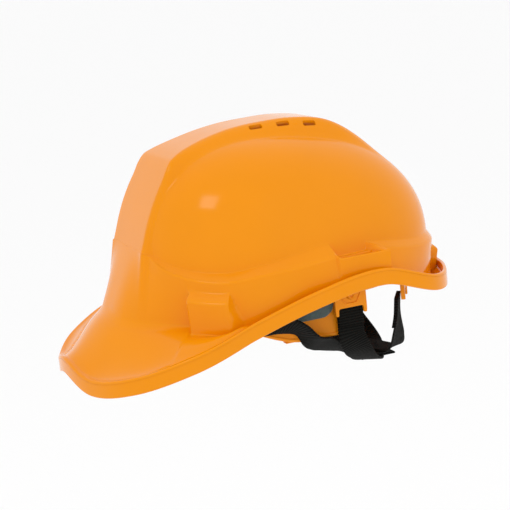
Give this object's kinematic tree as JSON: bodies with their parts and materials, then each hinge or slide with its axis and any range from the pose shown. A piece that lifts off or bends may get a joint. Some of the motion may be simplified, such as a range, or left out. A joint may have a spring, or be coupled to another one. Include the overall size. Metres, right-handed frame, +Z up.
{
  "type": "forestry helmet",
  "caption": "Vented hard shell with peak and rain gutter over a drooping webbing cradle, a perforated headband with sweatband, and a ratchet knob that draws in the size strap.",
  "frame": {"origin": "centre of the head opening, on the level of the rim", "axes": "+X to the wearer's left, +Y to the back of the head, +Z up; the peak points along -Y"},
  "size_m": [0.2066, 0.289, 0.1883],
  "materials": {
    "shell": "glossy moulded orange",
    "orange_fittings": "satin moulded orange",
    "headband": "satin moulded orange",
    "webbing": "black woven webbing",
    "sweatband": "ribbed grey-teal padding",
    "ratchet": "satin black",
    "spring": "spring steel"
  },
  "bodies": {
    "helmet": {"shell": "shell", "side_clip_left": "orange_fittings", "side_clip_right": "orange_fittings", "front_clip_left": "orange_fittings", "front_clip_right": "orange_fittings", "rear_clip_left": "orange_fittings", "rear_clip_right": "orange_fittings", "cradle_web_side": "webbing", "cradle_web_diagonal_left": "webbing", "cradle_web_diagonal_right": "webbing", "crown_patch": "webbing"},
    "headband": {"headband": "headband", "sweatband": "sweatband", "headband_hanger_left": "headband", "headband_hanger_right": "headband", "hanger_stud_left": "orange_fittings", "hanger_stud_right": "orange_fittings", "size_guide_left": "headband", "size_guide_right": "headband"},
    "size_strap": {"size_strap_left": "headband", "size_strap_right": "headband", "ratchet_housing": "ratchet", "ratchet_cover": "ratchet", "detent_spring": "spring", "nape_pad": "sweatband"},
    "knob": {"pinion": "ratchet", "size_knob": "ratchet"}
  },
  "joints": [
    {"name": "wearing_height", "type": "slide", "parent": "helmet", "child": "headband", "axis": [0, 0, 1], "range_m": [0, 0.008]},
    {"name": "size_slide", "type": "slide", "parent": "headband", "child": "size_strap", "axis": [0, 1, 0], "range_m": [-0.024, 0]},
    {"name": "knob_turn", "type": "hinge", "parent": "size_strap", "child": "knob", "pos_m": [0, 0.11, 0.014], "axis": [0, 1, 0], "range_deg": [-306, 0]}
  ],
  "couplings": [
    {"joint": "knob_turn", "follows": "size_slide", "rad_per_m": 222.2}
  ]
}
